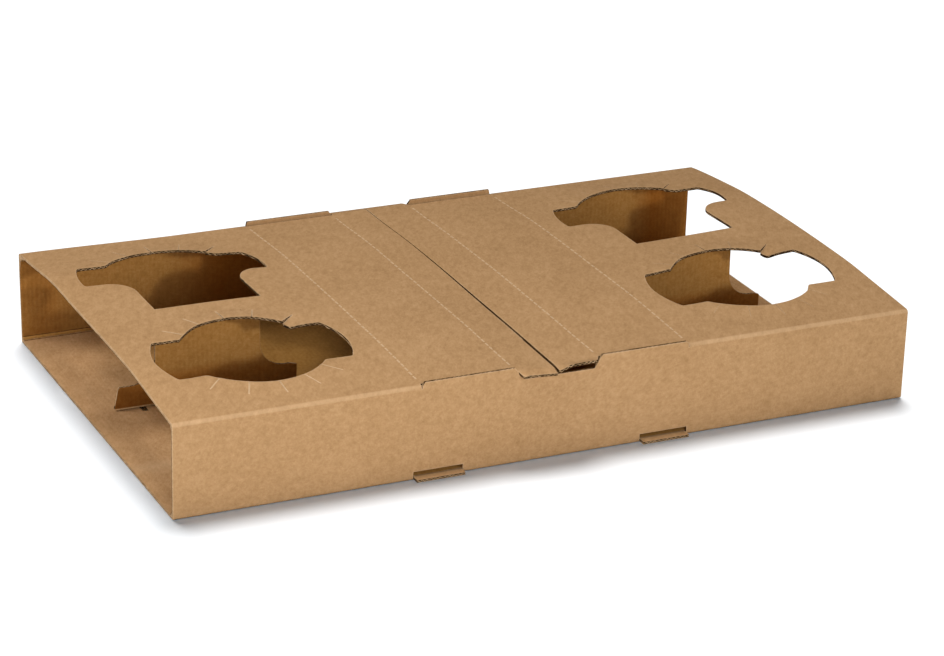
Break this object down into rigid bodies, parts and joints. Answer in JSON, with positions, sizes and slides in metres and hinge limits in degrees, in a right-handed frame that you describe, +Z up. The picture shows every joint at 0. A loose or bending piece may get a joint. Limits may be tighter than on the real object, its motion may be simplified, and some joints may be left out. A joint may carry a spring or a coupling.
{
  "type": "cardboard cup carrier",
  "caption": "Flat open-ended sleeve of corrugated kraft board with winged round cup openings, folded-down divider flaps, centre doors with lock tabs, and lip slots at the wall feet.",
  "frame": {"origin": "centre of the footprint, on the surface the floor panel rests on", "axes": "+X along the sleeve towards the right open end, -Y towards the front wall, +Z up"},
  "size_m": [0.4, 0.2436, 0.0549],
  "materials": {
    "kraft_board": "uncoated matt kraft liner, darker inside"
  },
  "bodies": {
    "root": {"cup_carrier": "kraft_board"}
  },
  "joints": []
}
